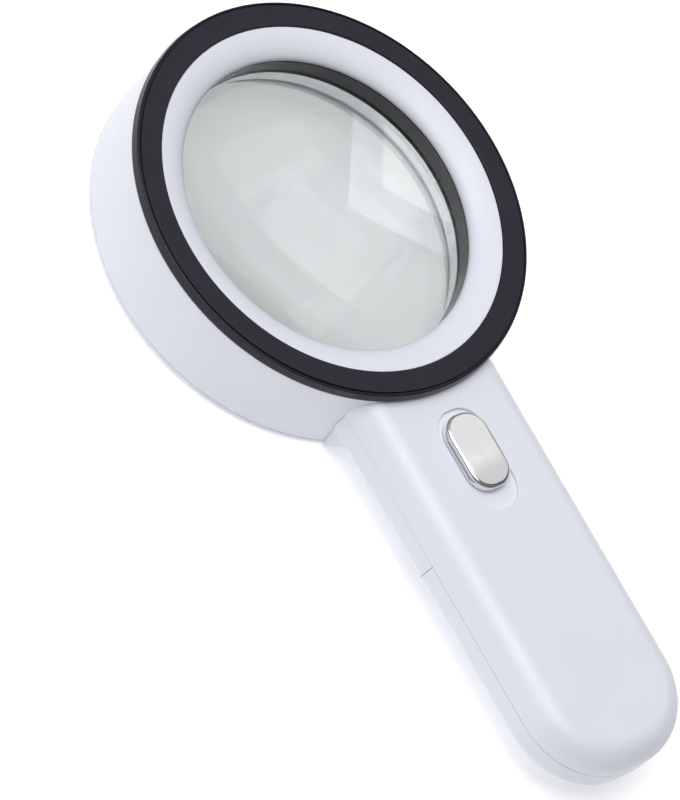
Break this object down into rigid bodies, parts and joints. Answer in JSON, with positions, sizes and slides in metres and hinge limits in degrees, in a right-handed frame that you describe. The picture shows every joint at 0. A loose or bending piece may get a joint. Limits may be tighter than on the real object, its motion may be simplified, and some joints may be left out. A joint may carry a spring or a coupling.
{
  "type": "low vision magnifier",
  "caption": "Hand magnifier with a large round double lens, a ring of LEDs round it, and a flat battery handle with a slide switch.",
  "frame": {"origin": "on the lens axis, in the plane of the LED-side rim that the head rests on", "axes": "+Z along the lens axis towards the reader's eye, the handle runs along -Y, +X to the right seen from above"},
  "size_m": [0.1087, 0.2098, 0.027],
  "materials": {
    "white_abs": "satin",
    "black_abs": "satin",
    "optical_glass": "polished",
    "clear_window": "clear, polished",
    "white_spacer": "matt",
    "bright_spacer": "polished",
    "reflector_white": "gloss",
    "chrome_button": "polished",
    "black_inner": "satin",
    "circuit_board": "solder mask",
    "led_epoxy": "clear lens over phosphor",
    "tinned_wire": "bright",
    "nickel_contact": "bright",
    "zinc_screw": "bright",
    "resistor_black": "matt",
    "cell_jacket": "satin film",
    "wire_red": "insulation",
    "wire_black": "insulation",
    "wire_white": "insulation"
  },
  "bodies": {
    "housing": {"front_shell": "white_abs", "back_shell": "white_abs", "trim_ring": "black_abs", "funnel_bezel": "white_abs", "lens_retainer": "black_inner", "upper_lens": "optical_glass", "lens_spacer": "bright_spacer", "lower_lens": "optical_glass", "led_cover": "clear_window", "led_reflector": "reflector_white", "led_board": "circuit_board", "leds": "led_epoxy", "led_leads": "tinned_wire", "led_resistors": "resistor_black", "led_board_screws": "zinc_screw", "switch_case": "nickel_contact", "switch_board": "circuit_board", "switch_pins": "tinned_wire", "switch_board_screws": "zinc_screw", "battery_tray": "white_spacer", "tray_screw": "zinc_screw", "contact_springs": "nickel_contact", "bridge_plates": "nickel_contact", "negative_terminal": "nickel_contact", "positive_terminal": "nickel_contact", "shell_screws": "zinc_screw", "wire_red": "wire_red", "wire_black": "wire_black", "wire_switched": "wire_white", "battery_left": "cell_jacket", "battery_middle": "cell_jacket", "battery_right": "cell_jacket"},
    "switch_slider": {"slide_button": "chrome_button", "slide_carrier": "black_inner", "switch_lever": "black_inner"},
    "battery_door": {"battery_door": "white_abs"}
  },
  "joints": [
    {"name": "switch_slide", "type": "slide", "parent": "housing", "child": "switch_slider", "axis": [0, -1, 0], "range_m": [0, 0.004]},
    {"name": "door_slide", "type": "slide", "parent": "housing", "child": "battery_door", "axis": [0, -1, 0], "range_m": [0, 0.066]}
  ]
}
